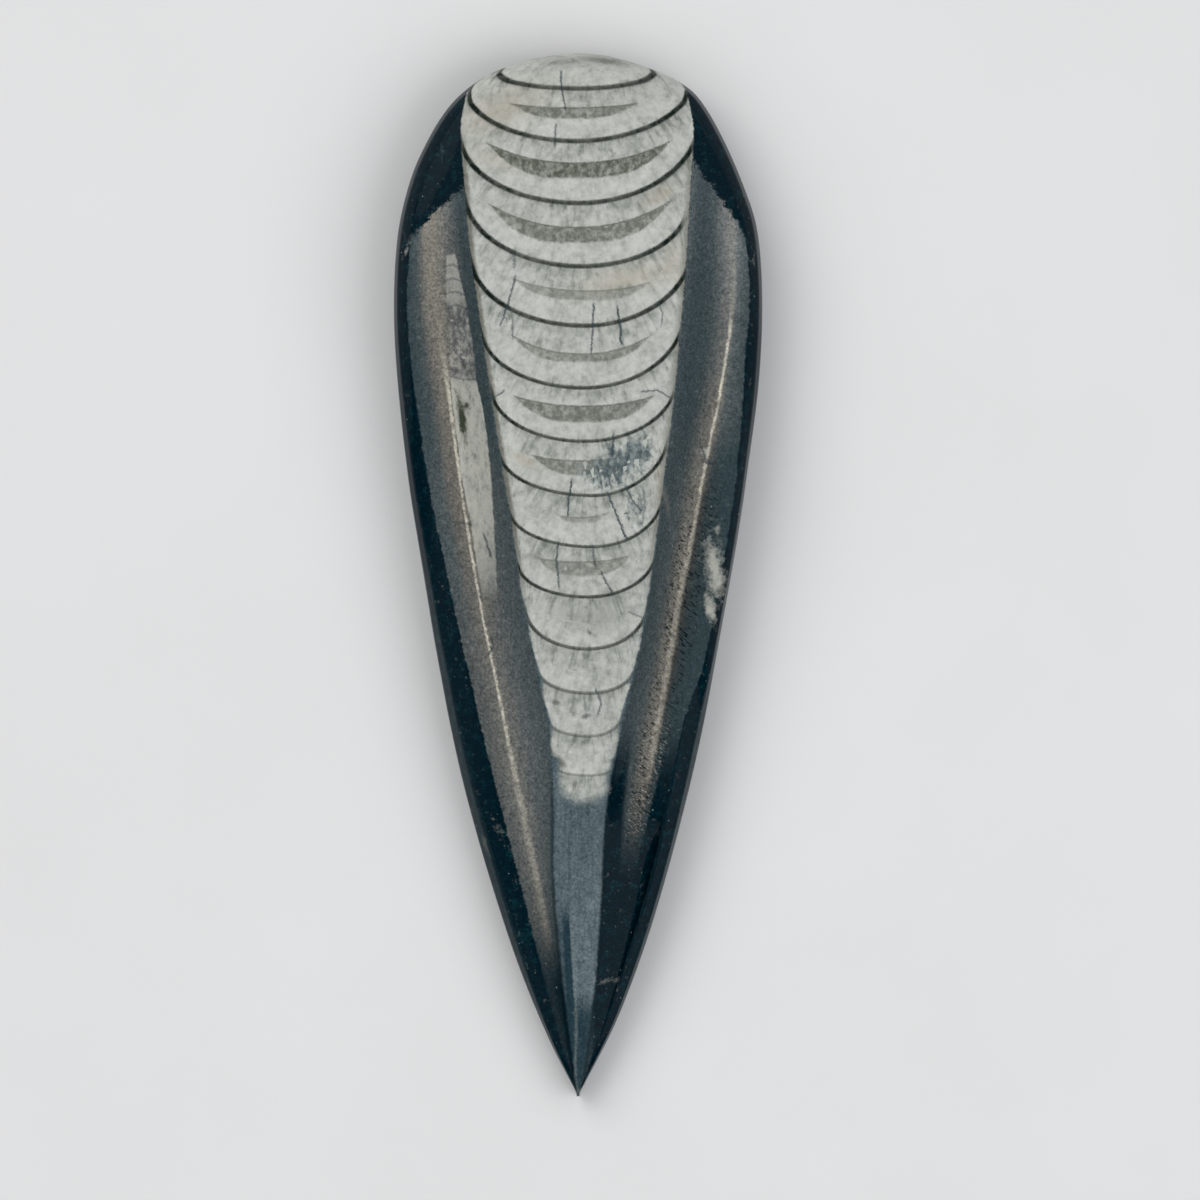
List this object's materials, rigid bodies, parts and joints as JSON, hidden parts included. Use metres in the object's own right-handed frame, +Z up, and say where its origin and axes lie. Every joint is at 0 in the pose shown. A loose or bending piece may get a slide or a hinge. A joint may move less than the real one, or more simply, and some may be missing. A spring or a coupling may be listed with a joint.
{
  "type": "orthoceras fossil",
  "caption": "Carved and polished teardrop of black limestone with a pale chambered orthoceras shell down its middle and a flute along each side.",
  "frame": {"origin": "on the floor under the middle of the stone, on its flat back", "axes": "+Z up out of the carved face, +Y along the stone to its wide end, +X across it"},
  "size_m": [0.0406, 0.115, 0.0128],
  "materials": {
    "stone": "black limestone with a pale calcite shell, polished on the dome and the edges, matt in the flutes"
  },
  "bodies": {
    "root": {"orthoceras_stone": "stone"}
  },
  "joints": []
}
